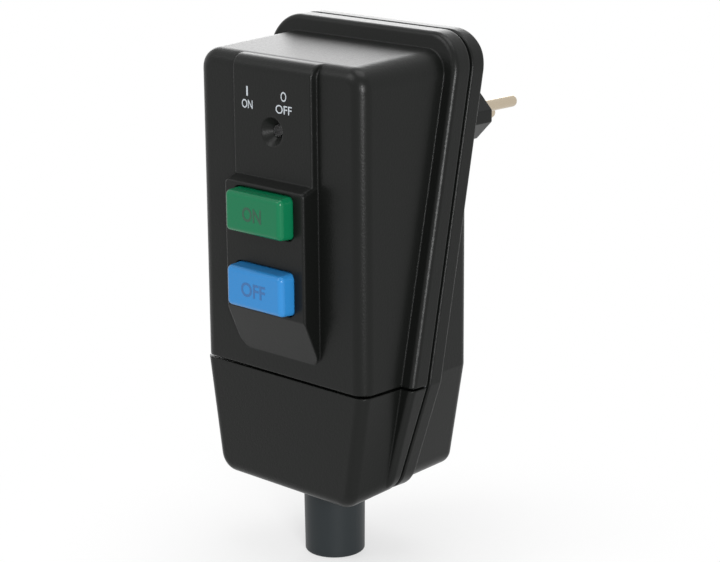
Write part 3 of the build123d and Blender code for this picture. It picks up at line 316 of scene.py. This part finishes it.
SIGN_ROW = (88.8, 91.8)
WORD_ROW = (84.9, 87.6)
for name, words, x_range, height_range in (
    ("mark_on_sign", "I", (-11.1, -10.4), SIGN_ROW),
    ("mark_on", "ON", (-13.2, -8.4), WORD_ROW),
    ("mark_off_sign", "O", (4.2, 6.6), SIGN_ROW),
    ("mark_off", "OFF", (1.9, 8.9), WORD_ROW),
):
    mark(
        name, words, x_range, height_range, PANEL_DEPTH, PANEL_WEIGHT,
        "print_white", "adapter_body",
    )
mark(
    "button_on", "ON", (-4.2, 4.2), (51.75, 56.35), BUTTON_DEPTH, BUTTON_WEIGHT,
    "print_green", "reset_button_body",
)
mark(
    "button_off", "OFF", (-5.4, 5.4), (27.7, 32.3), BUTTON_DEPTH, BUTTON_WEIGHT,
    "print_blue", "test_button_body",
)


# Floor, in metres

FLOOR_REACH = 3.0
FLOOR_GAP = 0.0002  # below the sleeve's end
FLOOR_MIDDLE_Y = -0.059
SHADOW_NEAR, SHADOW_FAR = 0.03, 0.14  # from the middle, where the shadow starts and ends fading
SHADOW_FADE = 0.6  # how white the floor is nearest to the middle


def backdrop(name, colour):
    """Pale surface with the object's shadow near it, that turns plain white further away."""
    material, tree, shader = new_material(name)
    set_inputs(shader, Base_Color=(*colour, 1), Roughness=0.9, Specular_IOR_Level=0.1)
    place = tree.nodes.new("ShaderNodeTexCoord")
    distance = tree.nodes.new("ShaderNodeVectorMath")
    distance.operation = "LENGTH"
    tree.links.new(place.outputs["Object"], distance.inputs[0])
    fade = tree.nodes.new("ShaderNodeMapRange")
    fade.interpolation_type = "SMOOTHSTEP"
    set_inputs(fade, From_Min=SHADOW_NEAR, From_Max=SHADOW_FAR, To_Min=SHADOW_FADE)
    tree.links.new(distance.outputs["Value"], fade.inputs["Value"])
    white = tree.nodes.new("ShaderNodeEmission")
    mix = tree.nodes.new("ShaderNodeMixShader")
    tree.links.new(fade.outputs["Result"], mix.inputs["Fac"])
    tree.links.new(shader.outputs["BSDF"], mix.inputs[1])
    tree.links.new(white.outputs["Emission"], mix.inputs[2])
    tree.links.new(mix.outputs["Shader"], tree.nodes["Material Output"].inputs["Surface"])
    return material


floor_mesh = bpy.data.meshes.new("floor")
floor_mesh.from_pydata(
    [
        (-FLOOR_REACH, -FLOOR_REACH, 0), (FLOOR_REACH, -FLOOR_REACH, 0),
        (FLOOR_REACH, FLOOR_REACH, 0), (-FLOOR_REACH, FLOOR_REACH, 0),
    ],
    [], [(0, 1, 2, 3)],
)
floor_mesh.materials.append(backdrop("floor_white", (0.9, 0.9, 0.9)))
floor = bpy.data.objects.new("floor", floor_mesh)
floor.location = (0, FLOOR_MIDDLE_Y, cad_low[2] - FLOOR_GAP)
scene.collection.objects.link(floor)


# Lamps, in metres and watts, and a white surround

OBJECT_MIDDLE = Vector((0, -0.05, -0.05))


def softbox(name, place, width, height, power):
    """Lamp with a rectangular face, aimed at the middle of the object."""
    light = bpy.data.lights.new(name, "AREA")
    light.shape = "RECTANGLE"
    light.size = width
    light.size_y = height
    light.energy = power
    lamp = bpy.data.objects.new(name, light)
    lamp.location = place
    lamp.rotation_euler = (OBJECT_MIDDLE - Vector(place)).to_track_quat("-Z", "Y").to_euler()
    scene.collection.objects.link(lamp)


softbox("key", (-0.5, -0.9, 0.9), width=0.7, height=0.7, power=5.5)
softbox("top", (0.1, 0.1, 1.1), width=0.8, height=0.8, power=6)
softbox("right", (0.97, -0.73, 0.14), width=0.32, height=0.5, power=12.5)
softbox("back", (-0.75, 0.75, 0.28), width=0.9, height=0.6, power=4)


def larger(tree, first, second):
    node = tree.nodes.new("ShaderNodeMath")
    node.operation = "MAXIMUM"
    tree.links.new(first, node.inputs[0])
    tree.links.new(second, node.inputs[1])
    return node.outputs["Value"]


# The surround is plain white to the camera, through clear pieces and in reflections. As a
# light it is weaker.
SURROUND_LIGHT = 0.4
SURROUND_SEEN = 1.0
world = bpy.data.worlds.new("studio")
world.use_nodes = True
scene.world = world
sky = world.node_tree.nodes["Background"]
set_inputs(sky, Color=(1, 1, 1, 1))
ray = world.node_tree.nodes.new("ShaderNodeLightPath").outputs
seen = larger(world.node_tree, ray["Is Camera Ray"], ray["Is Transmission Ray"])
seen = larger(world.node_tree, seen, ray["Is Glossy Ray"])
vary(world.node_tree, sky.inputs["Strength"], seen, SURROUND_LIGHT, SURROUND_SEEN)


# Camera: its direction from the object, its turn about its own line, and its place in metres

AZIMUTH = math.radians(44.23)
ELEVATION = math.radians(14.96)
ROLL = math.radians(-0.44)
CAMERA_PLACE = (0.47617, -0.53542, 0.13226)
SENSOR_WIDTH = 36.0
LENS = 108.69
CLIP_NEAR, CLIP_FAR = 0.01, 20.0

right = Vector((math.cos(AZIMUTH), math.sin(AZIMUTH), 0))
towards = Vector((
    math.sin(AZIMUTH) * math.cos(ELEVATION),
    -math.cos(AZIMUTH) * math.cos(ELEVATION),
    math.sin(ELEVATION),
))
up = towards.cross(right)
level = right * math.cos(ROLL) + up * math.sin(ROLL)
upright = up * math.cos(ROLL) - right * math.sin(ROLL)
camera_data = bpy.data.cameras.new("camera")
camera_data.sensor_fit = "HORIZONTAL"
camera_data.sensor_width = SENSOR_WIDTH
camera_data.lens = LENS
camera_data.clip_start = CLIP_NEAR
camera_data.clip_end = CLIP_FAR
camera = bpy.data.objects.new("camera", camera_data)
turn = Matrix((level, upright, towards)).transposed().to_4x4()
camera.matrix_world = Matrix.Translation(Vector(CAMERA_PLACE)) @ turn
scene.collection.objects.link(camera)
scene.camera = camera
scene.view_settings.view_transform = "Standard"
